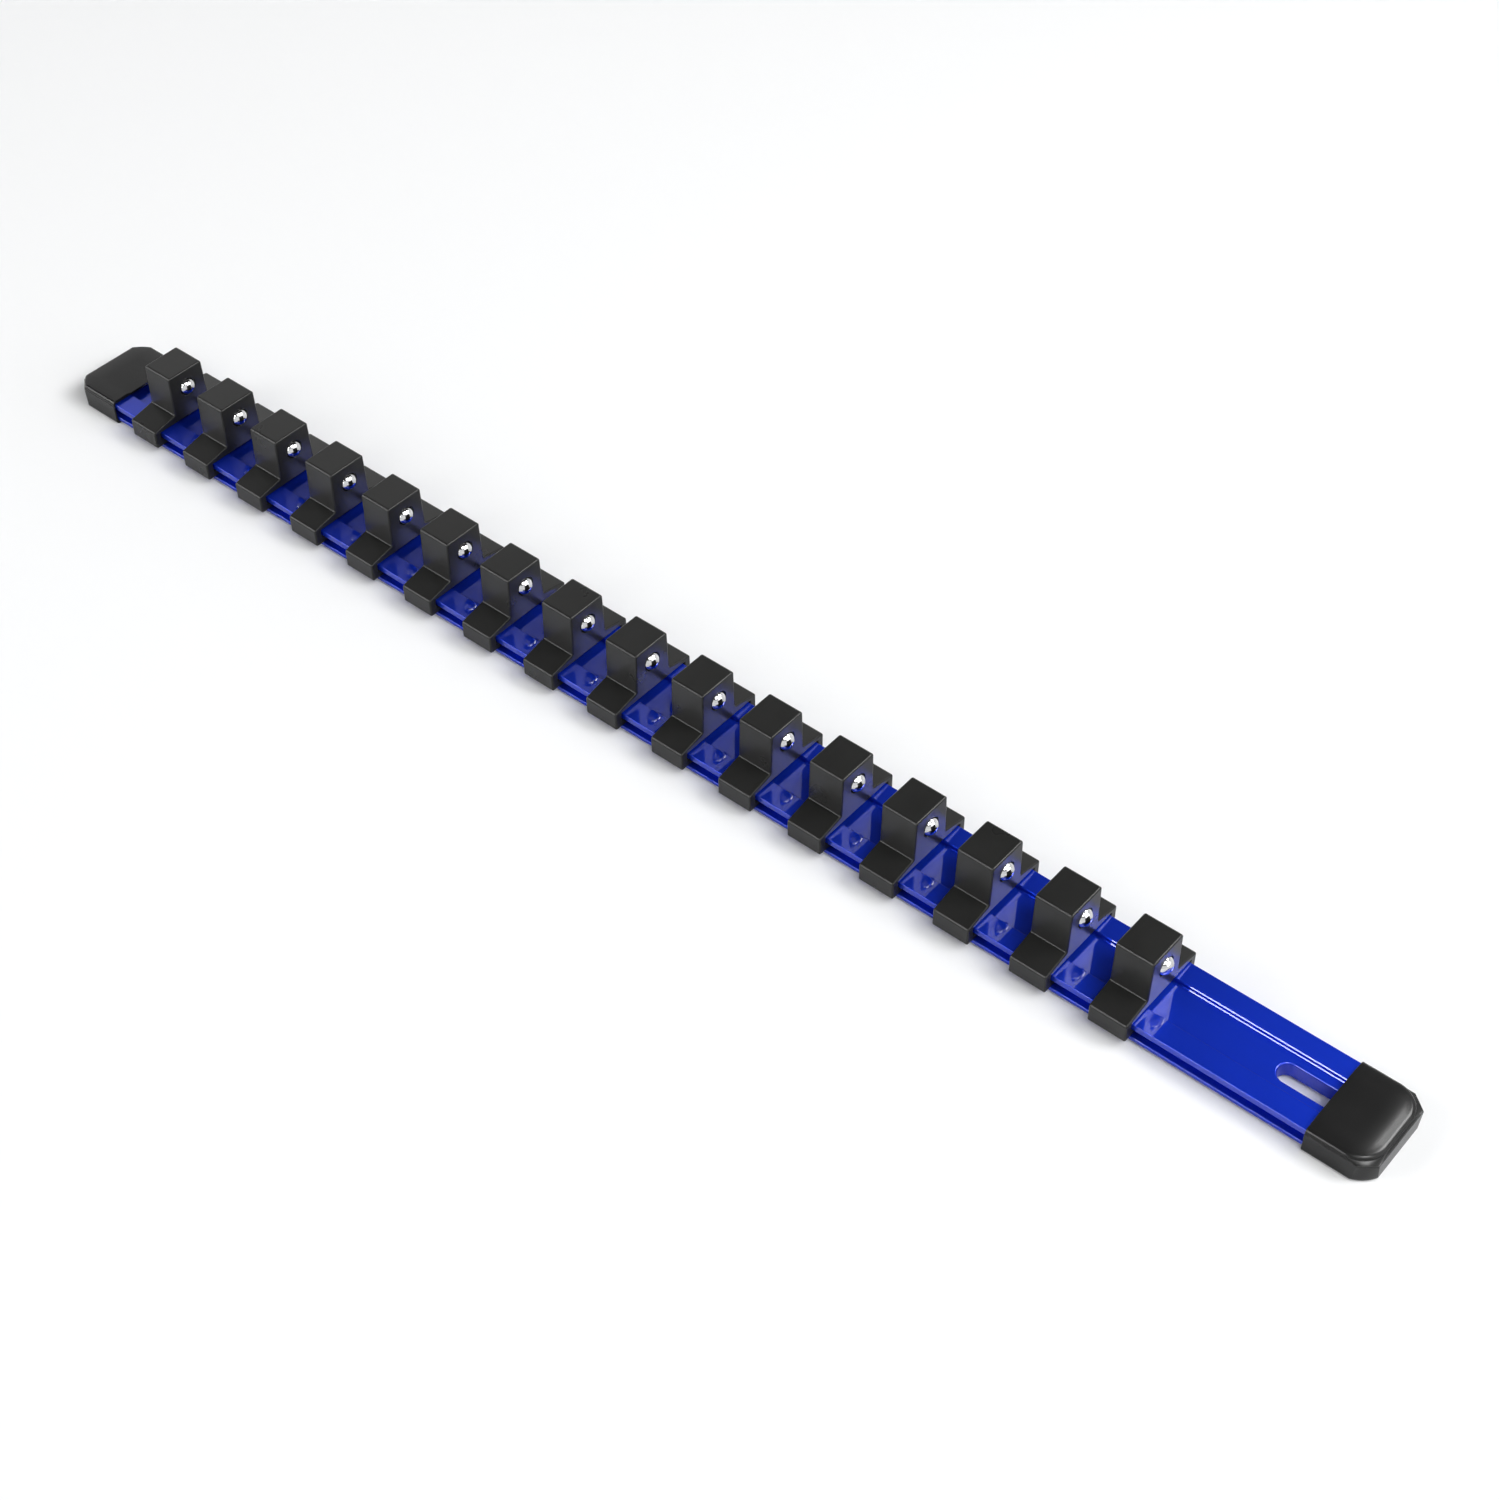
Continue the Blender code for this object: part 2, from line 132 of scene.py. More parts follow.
worldLook = {
    "horizon": 0.45, "middle": 0.05,
    "seenHorizon": 1.0,   # what the camera, gloss and glass see in the horizon's place
    "riseFrom": 0.42, "riseTo": 0.62,   # sines of the elevations between which the horizon's light ends
}


def addLights(look):
    for name, (place, target, width, height, watts, lights) in look.items():
        lamp = bpy.data.lights.new(name, "AREA")
        lamp.shape = "RECTANGLE"
        lamp.size = width
        lamp.size_y = height
        lamp.energy = watts
        item = bpy.data.objects.new(name, lamp)
        scene.collection.objects.link(item)
        item.location = place
        item.rotation_euler = (Vector(target) - Vector(place)).to_track_quat("-Z", "Y").to_euler()
        item.visible_camera = False
        item.visible_diffuse = lights != "glossy"
        item.visible_glossy = lights != "matt"


def addNode(tree, kind, **values):
    node = tree.nodes.new(kind)
    for key, value in values.items():
        setattr(node, key, value)
    return node


def seenRays(tree):
    # 1 for rays from the camera, gloss and glass, 0 for the light that falls on the object
    path = addNode(tree, "ShaderNodeLightPath")
    total = path.outputs["Is Camera Ray"]
    for output in ("Is Glossy Ray", "Is Transmission Ray"):
        join = addNode(tree, "ShaderNodeMath", operation="MAXIMUM")
        tree.links.new(total, join.inputs[0])
        tree.links.new(path.outputs[output], join.inputs[1])
        total = join.outputs["Value"]
    return total


def addWorld(look):
    # radiance = horizon, falling smoothly to middle as the direction's Z rises
    world = bpy.data.worlds.new("studio")
    scene.world = world
    world.use_nodes = True
    tree = world.node_tree
    tree.nodes.clear()
    direction = addNode(tree, "ShaderNodeTexCoord")
    parts = addNode(tree, "ShaderNodeSeparateXYZ")
    level = addNode(tree, "ShaderNodeMapRange", interpolation_type="SMOOTHSTEP")
    level.inputs["From Min"].default_value = look["riseFrom"]
    level.inputs["From Max"].default_value = look["riseTo"]
    level.inputs["To Max"].default_value = look["middle"]
    horizon = addNode(tree, "ShaderNodeMapRange")
    horizon.inputs["To Min"].default_value = look["horizon"]
    horizon.inputs["To Max"].default_value = look["seenHorizon"]
    tree.links.new(seenRays(tree), horizon.inputs["Value"])
    tree.links.new(horizon.outputs["Result"], level.inputs["To Min"])
    studio = addNode(tree, "ShaderNodeBackground")
    out = addNode(tree, "ShaderNodeOutputWorld")
    tree.links.new(direction.outputs["Generated"], parts.inputs["Vector"])
    tree.links.new(parts.outputs["Z"], level.inputs["Value"])
    tree.links.new(level.outputs["Result"], studio.inputs["Strength"])
    tree.links.new(studio.outputs["Background"], out.inputs["Surface"])


floorLook = {
    "halfSize": 20.0, "colour": (0.95, 0.955, 0.96), "roughness": 0.9,
    "whiteFrom": 0.7, "whiteTo": 1.5,   # distances between which the floor turns into a plain white backdrop
}


def addFloor(look):
    # flat square at z = 0
    half = look["halfSize"]
    mesh = bpy.data.meshes.new("floor")
    corners = np.array([[-half, -half, 0], [half, -half, 0], [half, half, 0], [-half, half, 0]])
    mesh.from_pydata(corners.tolist(), [], [[0, 1, 2, 3]])
    item = bpy.data.objects.new("floor", mesh)
    scene.collection.objects.link(item)
    material = bpy.data.materials.new("white_paper")
    material.use_nodes = True
    tree = material.node_tree
    tree.nodes.clear()
    paper = addNode(tree, "ShaderNodeBsdfDiffuse")
    paper.inputs["Color"].default_value = (*look["colour"], 1)
    paper.inputs["Roughness"].default_value = look["roughness"]
    backdrop = addNode(tree, "ShaderNodeEmission")
    place = addNode(tree, "ShaderNodeTexCoord")
    distance = addNode(tree, "ShaderNodeVectorMath", operation="LENGTH")
    far = addNode(tree, "ShaderNodeMapRange", interpolation_type="SMOOTHSTEP")
    far.inputs["From Min"].default_value = look["whiteFrom"]
    far.inputs["From Max"].default_value = look["whiteTo"]
    share = addNode(tree, "ShaderNodeMath", operation="MULTIPLY")
    blend = addNode(tree, "ShaderNodeMixShader")
    out = addNode(tree, "ShaderNodeOutputMaterial")
    tree.links.new(place.outputs["Object"], distance.inputs[0])
    tree.links.new(distance.outputs["Value"], far.inputs["Value"])
    tree.links.new(far.outputs["Result"], share.inputs[0])
    tree.links.new(seenRays(tree), share.inputs[1])
    tree.links.new(share.outputs["Value"], blend.inputs["Fac"])
    tree.links.new(paper.outputs["BSDF"], blend.inputs[1])
    tree.links.new(backdrop.outputs["Emission"], blend.inputs[2])
    tree.links.new(blend.outputs["Shader"], out.inputs["Surface"])
    mesh.materials.append(material)


addCamera(cameraLook)
addLights(lightLook)
addWorld(worldLook)
addFloor(floorLook)
print("camera, lights and floor set")


meshLook = {
    "overrun": 0.001,        # how far a cutter stands out of what it cuts
    "joinWithin": 1e-7,      # points nearer than this are one
    "speckWithin": 1e-8,     # edges shorter than this go
    "sharpAngle": 38,        # degrees above which an edge stays sharp
    "flatFaceWeight": 90,
}


def unit(rows):
    # each row divided by its length
    return rows / np.linalg.norm(rows, axis=-1, keepdims=True)


def roundedOutline(corners, steps):
    # each corner (across, up, radius) becomes centre + radius (cos, sin), turned evenly from tangent to tangent
    corners = np.asarray(corners, float)
    points, radius = corners[:, :2], corners[:, 2:]
    before = unit(np.roll(points, 1, axis=0) - points)
    after = unit(np.roll(points, -1, axis=0) - points)
    halfAngle = np.arccos(np.clip((before * after).sum(axis=1, keepdims=True), -1, 1)) / 2
    centre = points + unit(before + after) * radius / np.sin(halfAngle)
    first = points + before * radius / np.tan(halfAngle) - centre
    last = points + after * radius / np.tan(halfAngle) - centre
    sweep = np.arctan2(first[:, 0] * last[:, 1] - first[:, 1] * last[:, 0], (first * last).sum(axis=1))
    turn = sweep[:, None] * np.linspace(0, 1, steps + 1)
    across = first[:, :1] * np.cos(turn) - first[:, 1:] * np.sin(turn)
    up = first[:, :1] * np.sin(turn) + first[:, 1:] * np.cos(turn)
    return (centre[:, None, :] + np.stack([across, up], axis=-1)).reshape(-1, 2)


def insetCorners(corners, distance, smallest):
    # clockwise corners moved inwards by distance along their mitres; outer radii shrink by it, down to the
    # smallest, and inner ones grow
    corners = np.asarray(corners, float)
    points = corners[:, :2]
    arriving = unit(points - np.roll(points, 1, axis=0))
    leaving = np.roll(arriving, -1, axis=0)
    inward = unit(np.stack([arriving[:, 1] + leaving[:, 1], -arriving[:, 0] - leaving[:, 0]], axis=1))
    lean = inward[:, 0] * leaving[:, 1] - inward[:, 1] * leaving[:, 0]
    outer = arriving[:, 0] * leaving[:, 1] - arriving[:, 1] * leaving[:, 0] < 0
    radius = np.maximum(corners[:, 2] + np.where(outer, -distance, distance), smallest)
    return np.column_stack([points + inward * (distance / lean)[:, None], radius])


def bothSides(backHalf):
    # the back half's corners, top to bottom, then their mirror images in Y, bottom to top
    backHalf = np.asarray(backHalf, float)
    return np.concatenate([backHalf, backHalf[::-1] * (-1, 1, 1)])


def sweptAlongX(outlines, stations):
    # point (i, j) = (station i, across and up of point j of outline i)
    outlines = np.asarray(outlines)
    x = np.broadcast_to(np.asarray(stations)[:, None, None], (*outlines.shape[:2], 1))
    return np.concatenate([x, outlines], axis=-1)


def addPiece(name, grid, material=None):
    # a grid of rings: quads between neighbours, each ring joined to its start, and a flat face on both end rings
    rows, columns = grid.shape[:2]
    index = np.arange(rows * columns).reshape(rows, columns)
    following = np.roll(index, -1, axis=1)
    quads = np.stack([index[:-1], following[:-1], following[1:], index[1:]], axis=-1).reshape(-1, 4)
    ends = [index[0, ::-1].tolist(), index[-1].tolist()]
    mesh = bpy.data.meshes.new(name)
    mesh.from_pydata(grid.reshape(-1, 3).tolist(), [], quads.tolist() + ends)
    return placePiece(name, mesh, material)


def placePiece(name, mesh, material=None):
    # an object at the origin, with its place in its mesh
    item = bpy.data.objects.new(name, mesh)
    scene.collection.objects.link(item)
    if material is not None:
        mesh.materials.clear()
        mesh.materials.append(material)
    return item


def closeUp(mesh):
    # merges the points of a pole or a seam and turns every face outwards
    shape = bmesh.new()
    shape.from_mesh(mesh)
    bmesh.ops.remove_doubles(shape, verts=shape.verts, dist=meshLook["joinWithin"])
    bmesh.ops.dissolve_degenerate(shape, edges=shape.edges, dist=meshLook["speckWithin"])
    bmesh.ops.recalc_face_normals(shape, faces=shape.faces)
    shape.to_mesh(mesh)
    shape.free()


def carve(item, cutters):
    # the item's mesh less the cutters, as a finished mesh; the item and the cutters go
    closeUp(item.data)
    for cutter in cutters:
        closeUp(cutter.data)
        boolean = item.modifiers.new(cutter.name, "BOOLEAN")
        boolean.operation = "DIFFERENCE"
        boolean.solver = "EXACT"
        boolean.object = cutter
    graph = bpy.context.evaluated_depsgraph_get()
    mesh = bpy.data.meshes.new_from_object(item.evaluated_get(graph))
    mesh.materials.clear()
    for used in [item, *cutters]:
        bpy.data.objects.remove(used)
    return mesh


def softenShading(item, sharpAngle=meshLook["sharpAngle"]):
    # smooth shading that leaves flat faces flat
    item.data.shade_smooth()
    item.data.set_sharp_from_angle(angle=math.radians(sharpAngle))
    weighted = item.modifiers.new("flat_faces", "WEIGHTED_NORMAL")
    weighted.keep_sharp = True
    weighted.weight = meshLook["flatFaceWeight"]


def newGroup(name, inputs, outputs):
    group = bpy.data.node_groups.new(name, "ShaderNodeTree")
    for socket, value in inputs.items():
        group.interface.new_socket(socket, in_out="INPUT", socket_type="NodeSocketFloat").default_value = value
    for socket in outputs:
        group.interface.new_socket(socket, in_out="OUTPUT", socket_type="NodeSocketFloat")
    return group, addNode(group, "NodeGroupInput"), addNode(group, "NodeGroupOutput")


grainLook = {
    "start": {"Grain Scale": 9000.0, "Coarse Scale": 1600.0, "Coarse Share": 0.35, "Patch Scale": 60.0},
    "fineDetail": 3, "coarseDetail": 2, "patchDetail": 4, "patchFrom": 0.3, "patchTo": 0.7,
}


def mouldGrainGroup(look):
    # height = fine noise plus a share of a coarser one; patches = slow noise spread over 0 to 1
    group, entry, out = newGroup("mould_grain", look["start"], ("Height", "Patches"))
    place = addNode(group, "ShaderNodeTexCoord")
    fine, coarse, slow = (addNode(group, "ShaderNodeTexNoise") for _ in range(3))
    for noise, detail, scale in (
        (fine, "fineDetail", "Grain Scale"),
        (coarse, "coarseDetail", "Coarse Scale"),
        (slow, "patchDetail", "Patch Scale"),
    ):
        noise.inputs["Detail"].default_value = look[detail]
        group.links.new(place.outputs["Object"], noise.inputs["Vector"])
        group.links.new(entry.outputs[scale], noise.inputs["Scale"])
    total = addNode(group, "ShaderNodeMath", operation="MULTIPLY_ADD")
    spread = addNode(group, "ShaderNodeMapRange")
    spread.inputs["From Min"].default_value = look["patchFrom"]
    spread.inputs["From Max"].default_value = look["patchTo"]
    group.links.new(coarse.outputs["Fac"], total.inputs[0])
    group.links.new(entry.outputs["Coarse Share"], total.inputs[1])
    group.links.new(fine.outputs["Fac"], total.inputs[2])
    group.links.new(slow.outputs["Fac"], spread.inputs["Value"])
    group.links.new(total.outputs["Value"], out.inputs["Height"])
    group.links.new(spread.outputs["Result"], out.inputs["Patches"])
    return group


linesLook = {
    "start": {"Across Scale": 5000.0, "Along Scale": 12.0},
    "detail": 3, "maskFrom": 0.35, "maskTo": 0.65,
}


def drawnLinesGroup(look):
    # noise stretched along X, as a die or a wheel leaves it: height, and the same spread over 0 to 1 as a mask
    group, entry, out = newGroup("drawn_lines", look["start"], ("Height", "Mask"))
    place = addNode(group, "ShaderNodeTexCoord")
    stretch = addNode(group, "ShaderNodeCombineXYZ")
    scaled = addNode(group, "ShaderNodeVectorMath", operation="MULTIPLY")
    noise = addNode(group, "ShaderNodeTexNoise")
    noise.inputs["Scale"].default_value = 1
    noise.inputs["Detail"].default_value = look["detail"]
    spread = addNode(group, "ShaderNodeMapRange")
    spread.inputs["From Min"].default_value = look["maskFrom"]
    spread.inputs["From Max"].default_value = look["maskTo"]
    for axis, scale in (("X", "Along Scale"), ("Y", "Across Scale"), ("Z", "Across Scale")):
        group.links.new(entry.outputs[scale], stretch.inputs[axis])
    group.links.new(place.outputs["Object"], scaled.inputs[0])
    group.links.new(stretch.outputs["Vector"], scaled.inputs[1])
    group.links.new(scaled.outputs["Vector"], noise.inputs["Vector"])
    group.links.new(noise.outputs["Fac"], spread.inputs["Value"])
    group.links.new(noise.outputs["Fac"], out.inputs["Height"])
    group.links.new(spread.outputs["Result"], out.inputs["Mask"])
    return group


mouldGrain = mouldGrainGroup(grainLook)
drawnLines = drawnLinesGroup(linesLook)


def newMaterial(name, sockets):
    # a Principled material whose even values sit on its own sockets
    material = bpy.data.materials.new(name)
    material.use_nodes = True
    shader = material.node_tree.nodes["Principled BSDF"]
    for socket, value in sockets.items():
        shader.inputs[socket].default_value = value
    return material, material.node_tree, shader


def placeGroup(tree, group, values):
    node = addNode(tree, "ShaderNodeGroup", node_tree=group)
    for socket, value in values.items():
        node.inputs[socket].default_value = value
    return node


def mixColours(tree, factor, first, second):
    # colour = first, turning into second as the factor goes from 0 to 1
    mix = addNode(tree, "ShaderNodeMix", data_type="RGBA")
    mix.inputs["A"].default_value = (*first, 1)
    mix.inputs["B"].default_value = (*second, 1)
    tree.links.new(factor, mix.inputs["Factor"])
    return mix.outputs["Result"]


def spreadValue(tree, factor, low, high):
    # value = low, rising to high as the factor goes from 0 to 1
    spread = addNode(tree, "ShaderNodeMapRange")
    spread.inputs["To Min"].default_value = low
    spread.inputs["To Max"].default_value = high
    tree.links.new(factor, spread.inputs["Value"])
    return spread.outputs["Result"]


def bumpFrom(tree, shader, height, strength, distance, before=None):
    bump = addNode(tree, "ShaderNodeBump")
    bump.inputs["Strength"].default_value = strength
    bump.inputs["Distance"].default_value = distance
    tree.links.new(height, bump.inputs["Height"])
    if before is not None:
        tree.links.new(before, bump.inputs["Normal"])
    tree.links.new(bump.outputs["Normal"], shader.inputs["Normal"])
    return bump.outputs["Normal"]


def grainedMaterial(name, look, colours):
    # over the grain's patches the colour turns from the first of the two to the second, and the roughness too
    material, tree, shader = newMaterial(name, look["even"])
    grain = placeGroup(tree, mouldGrain, look["grain"])
    patches = grain.outputs["Patches"]
    first, second = (look[colour] for colour in colours)
    tree.links.new(mixColours(tree, patches, first, second), shader.inputs["Base Color"])
    tree.links.new(spreadValue(tree, patches, *look["roughness"]), shader.inputs["Roughness"])
    bumpFrom(tree, shader, grain.outputs["Height"], *look["bump"])
    return material


# bumps are (strength, distance), and "even" holds the sockets that are the same all over
anodisedLook = {
    "blue": (0.0075, 0.034, 0.51), "deepBlue": (0.0062, 0.030, 0.46), "roughness": (0.31, 0.37),
    "even": {
        "Metallic": 0.45, "Specular IOR Level": 0.0, "Coat Weight": 0.9, "Coat Roughness": 0.02, "Coat IOR": 1.48,
    },
    "lines": {"Across Scale": 4200.0, "Along Scale": 9.0},
    "grain": {"Grain Scale": 7000.0, "Coarse Scale": 2500.0, "Coarse Share": 0.5, "Patch Scale": 35.0},
    "lineBump": (0.06, 0.00001), "grainBump": (0.08, 0.00001),
}


def anodisedMaterial(look):
    # blue over the grain's patches, roughness over the drawn lines, and both in the bump
    material, tree, shader = newMaterial("blue_anodised", look["even"])
    lines = placeGroup(tree, drawnLines, look["lines"])
    grain = placeGroup(tree, mouldGrain, look["grain"])
    colour = mixColours(tree, grain.outputs["Patches"], look["blue"], look["deepBlue"])
    tree.links.new(colour, shader.inputs["Base Color"])
    tree.links.new(spreadValue(tree, lines.outputs["Mask"], *look["roughness"]), shader.inputs["Roughness"])
    drawn = bumpFrom(tree, shader, lines.outputs["Height"], *look["lineBump"])
    bumpFrom(tree, shader, grain.outputs["Height"], *look["grainBump"], drawn)
    return material


clipLook = {
    "black": (0.017, 0.017, 0.0165), "worn": (0.020, 0.020, 0.0195), "roughness": (0.27, 0.33),
    "even": {"Specular IOR Level": 0.25}, "bump": (0.22, 0.00002),
    "grain": {"Grain Scale": 6000.0, "Coarse Scale": 1500.0, "Coarse Share": 0.3, "Patch Scale": 90.0},
}
capLook = {
    "black": (0.0120, 0.0120, 0.0120), "worn": (0.0138, 0.0138, 0.0138), "roughness": (0.22, 0.26),
    "even": {"Specular IOR Level": 0.25}, "bump": (0.12, 0.00002),
    "grain": {"Grain Scale": 8000.0, "Coarse Scale": 1100.0, "Coarse Share": 0.6, "Patch Scale": 70.0},
}
steelLook = {
    "bright": (0.80, 0.80, 0.81), "dull": (0.70, 0.70, 0.71), "roughness": (0.04, 0.09),
    "even": {"Metallic": 1.0}, "bump": (0.02, 0.000005),
    "grain": {"Grain Scale": 5000.0, "Coarse Scale": 900.0, "Coarse Share": 0.4, "Patch Scale": 400.0},
}
springLook = {
    "bright": (0.58, 0.58, 0.59), "dull": (0.42, 0.42, 0.43), "roughness": (0.24, 0.38),
    "even": {"Metallic": 1.0}, "bump": (0.15, 0.000005),
    "grain": {"Grain Scale": 9000.0, "Coarse Scale": 2400.0, "Coarse Share": 0.5, "Patch Scale": 500.0},
}

anodised = anodisedMaterial(anodisedLook)
clipPlastic = grainedMaterial("clip_plastic", clipLook, ("black", "worn"))
capPlastic = grainedMaterial("cap_plastic", capLook, ("black", "worn"))
polishedSteel = grainedMaterial("polished_steel", steelLook, ("bright", "dull"))
springSteel = grainedMaterial("spring_steel", springLook, ("bright", "dull"))
print("finishes made")


railSizes = {
    "channelWidth": 0.0117, "channelDepth": 0.00135,
    "channelRoot": 0.00022, "channelEdge": 0.00022, "channelRounding": 0.00005,
    "upperLip": 0.0019, "lowerLip": 0.0012, "grooveDepth": 0.0024, "lipEdge": 0.00018, "smallEdge": 0.0002,
    "cornerCutLength": 0.004, "cornerCutWidth": 0.0032,
    "slotLength": 0.0178, "slotWidth": 0.0058, "slotToEnd": 0.0115, "slotRim": 0.00045,
    "arcSteps": 6, "slotSteps": 28, "rimSteps": 6,
}


def railCorners(sizes):
    # back half of the section, from the channel's floor over the flange and round the groove to the underside
    halfWidth = railHigh.y
    bottom, top = railLow.z, railHigh.z
    grooveRoot = halfWidth - sizes["grooveDepth"]
    channelSide = sizes["channelWidth"] / 2
    channelFloor = top - sizes["channelDepth"]
    upperLip = top - sizes["upperLip"]
    lowerLip = bottom + sizes["lowerLip"]
    root, edge, rounding = sizes["channelRoot"], sizes["channelEdge"], sizes["channelRounding"]
    return bothSides([
        (channelSide - root, channelFloor, rounding),
        (channelSide, channelFloor + root, rounding),
        (channelSide, top - edge, rounding),
        (channelSide + edge, top, rounding),
        (halfWidth, top, sizes["lipEdge"]),
        (halfWidth, upperLip, sizes["smallEdge"]),
        (grooveRoot, upperLip, sizes["smallEdge"]),
        (grooveRoot, lowerLip, sizes["smallEdge"]),
        (halfWidth, lowerLip, sizes["smallEdge"]),
        (halfWidth, bottom, sizes["lipEdge"]),
    ])


def slotGrid(sizes):
    # ring = oblong grown by g; going up, g is 0, and then r (1 - cos a) on a quarter round to the channel's floor
    rim, over = sizes["slotRim"], meshLook["overrun"]
    floorZ = railHigh.z - sizes["channelDepth"]
    turn = np.linspace(0, quarterTurn, sizes["rimSteps"] + 1)[1:]
    growth = np.concatenate([[0, 0], rim * (1 - np.cos(turn)), [rim]])
    rounded = floorZ - rim + rim * np.sin(turn)
    height = np.concatenate([[railLow.z - over, floorZ - rim], rounded, [floorZ + over]])
    side = np.repeat([1, -1], sizes["slotSteps"] + 1)
    angle = np.tile(np.linspace(-quarterTurn, quarterTurn, sizes["slotSteps"] + 1), 2)
    radius = sizes["slotWidth"] / 2 + growth[:, None]
    centreX = railHigh.x - sizes["slotToEnd"] - sizes["slotLength"] / 2
    reach = (sizes["slotLength"] - sizes["slotWidth"]) / 2
    x = centreX + side * (reach + radius * np.cos(angle))
    y = side * radius * np.sin(angle)
    z = np.broadcast_to(height[:, None], x.shape)
    return np.stack([x, y, z], axis=-1)


def cornerWedge(sizes, end, side):
    # upright wedge outside the straight cut at one corner, bigger than the bar all round by the overrun
    over = meshLook["overrun"]
    length, width = sizes["cornerCutLength"], sizes["cornerCutWidth"]
    outX, outY = railHigh.x + over, railHigh.y + over
    plan = np.array([
        (outX, outY),
        (outX - length - over * (1 + length / width), outY),
        (outX, outY - width - over * (1 + width / length)),
    ]) * (end, side)
    rings = [np.column_stack([plan, np.full(len(plan), z)]) for z in (railLow.z - over, railHigh.z + over)]
    return addPiece("corner_wedge", np.array(rings))


def addRail(sizes):
    outline = roundedOutline(railCorners(sizes), sizes["arcSteps"])
    bar = addPiece("bar", sweptAlongX([outline, outline], [railLow.x, railHigh.x]))
    cutters = [addPiece("slot_cutter", slotGrid(sizes))]
    cutters += [cornerWedge(sizes, end, side) for end in (1, -1) for side in (1, -1)]
    rail = placePiece("rail_bar", carve(bar, cutters), anodised)
    softenShading(rail)
    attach(rail, "rail")
    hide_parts("rail")


addRail(railSizes)
print("rail made")


# insets are measured from the box's side and end; a corner share is 0 on the straight cut and 1 on the pad's arc
capSizes = {
    "cornerCutLength": 0.004, "cornerCutWidth": 0.0032,
    "footRadius": 0.0011, "footShare": 0.3, "wallEdge": 0.00015,
    "ledgeSide": 0.0003, "ledgeEnd": 0.0006, "ledgeRise": 0.0005,
    "padShare": 1.0, "padCornerRadius": 0.0073, "smallestCornerRadius": 0.002,
    "roundoverReach": 0.0017, "roundoverRise": 0.001, "crownRise": 0.0003, "crownReach": 0.005, "crownPower": 3,
    "mouthRadius": 0.00025, "mouthSidePower": 6, "mouthTopPower": 2, "wallPoint": 0.004,
    "endWall": 0.0025, "clearance": 0.0003, "railEndRounding": 0.0004,
    "cornerSteps": 24, "roundSteps": 8, "crownSteps": 6, "mouthSteps": 5, "cavitySteps": 5,
    "sharpAngle": 30,
}
# the left cap shows a plainer top, which follows the straight cuts
leftCapChanges = {
    "footShare": 0.1, "padShare": 0.15, "ledgeSide": 0.0001, "ledgeEnd": 0.0001,
    "roundoverReach": 0.0011, "crownRise": 0.0001,
}


def capPlan(sizes, length, halfWidth, sideInset, endInset, cornerShare):
    # back half: along the wall, then a corner = straight cut x (1 - share) + arc x share; then its mirror in Y
    sideY, endX = halfWidth - sideInset, length - endInset
    t = np.linspace(0, 1, sizes["cornerSteps"] + 1)
    shrink = sideInset / 2   # the cut gets shorter as the wall moves in
    cutStart = np.array([endX - sizes["cornerCutLength"] + shrink, sideY])
    cutEnd = np.array([endX, sideY - sizes["cornerCutWidth"] + shrink])
    cut = cutStart + (cutEnd - cutStart) * t[:, None]
    radius = sizes["padCornerRadius"] - max(sideInset - sizes["ledgeSide"], 0)
    radius = max(radius, sizes["smallestCornerRadius"])
    turn = t * quarterTurn
    arc = np.stack([endX - radius + radius * np.sin(turn), sideY - radius + radius * np.cos(turn)], axis=1)
    corner = cut * (1 - cornerShare) + arc * cornerShare
    nearMouth = sizes["mouthRadius"] * (1 - np.cos(np.linspace(0, quarterTurn, sizes["mouthSteps"] + 1)))
    along = np.concatenate([nearMouth, [sizes["wallPoint"]]])
    wall = np.stack([along, np.full(len(along), sideY)], axis=1)
    half = np.concatenate([wall, corner])
    return np.concatenate([half, half[::-1] * (1, -1)])


def roundMouth(grid, sizes, halfWidth, middleZ):
    # near the mouth the section shrinks about its middle by radius - sqrt(radius^2 - (radius - x)^2)
    radius = sizes["mouthRadius"]
    depth = np.clip(radius - grid[..., 0], 0, radius)
    shrink = radius - np.sqrt(np.maximum(radius ** 2 - depth ** 2, 0))
    sideways = np.clip(np.abs(grid[..., 1]) / halfWidth, 0, 1) ** sizes["mouthSidePower"]
    upwards = np.clip(np.abs(grid[..., 2] - middleZ) / middleZ, 0, 1) ** sizes["mouthTopPower"]
    rounded = grid.copy()
    rounded[..., 1] -= np.sign(grid[..., 1]) * shrink * sideways
    rounded[..., 2] -= np.sign(grid[..., 2] - middleZ) * shrink * upwards
    return rounded


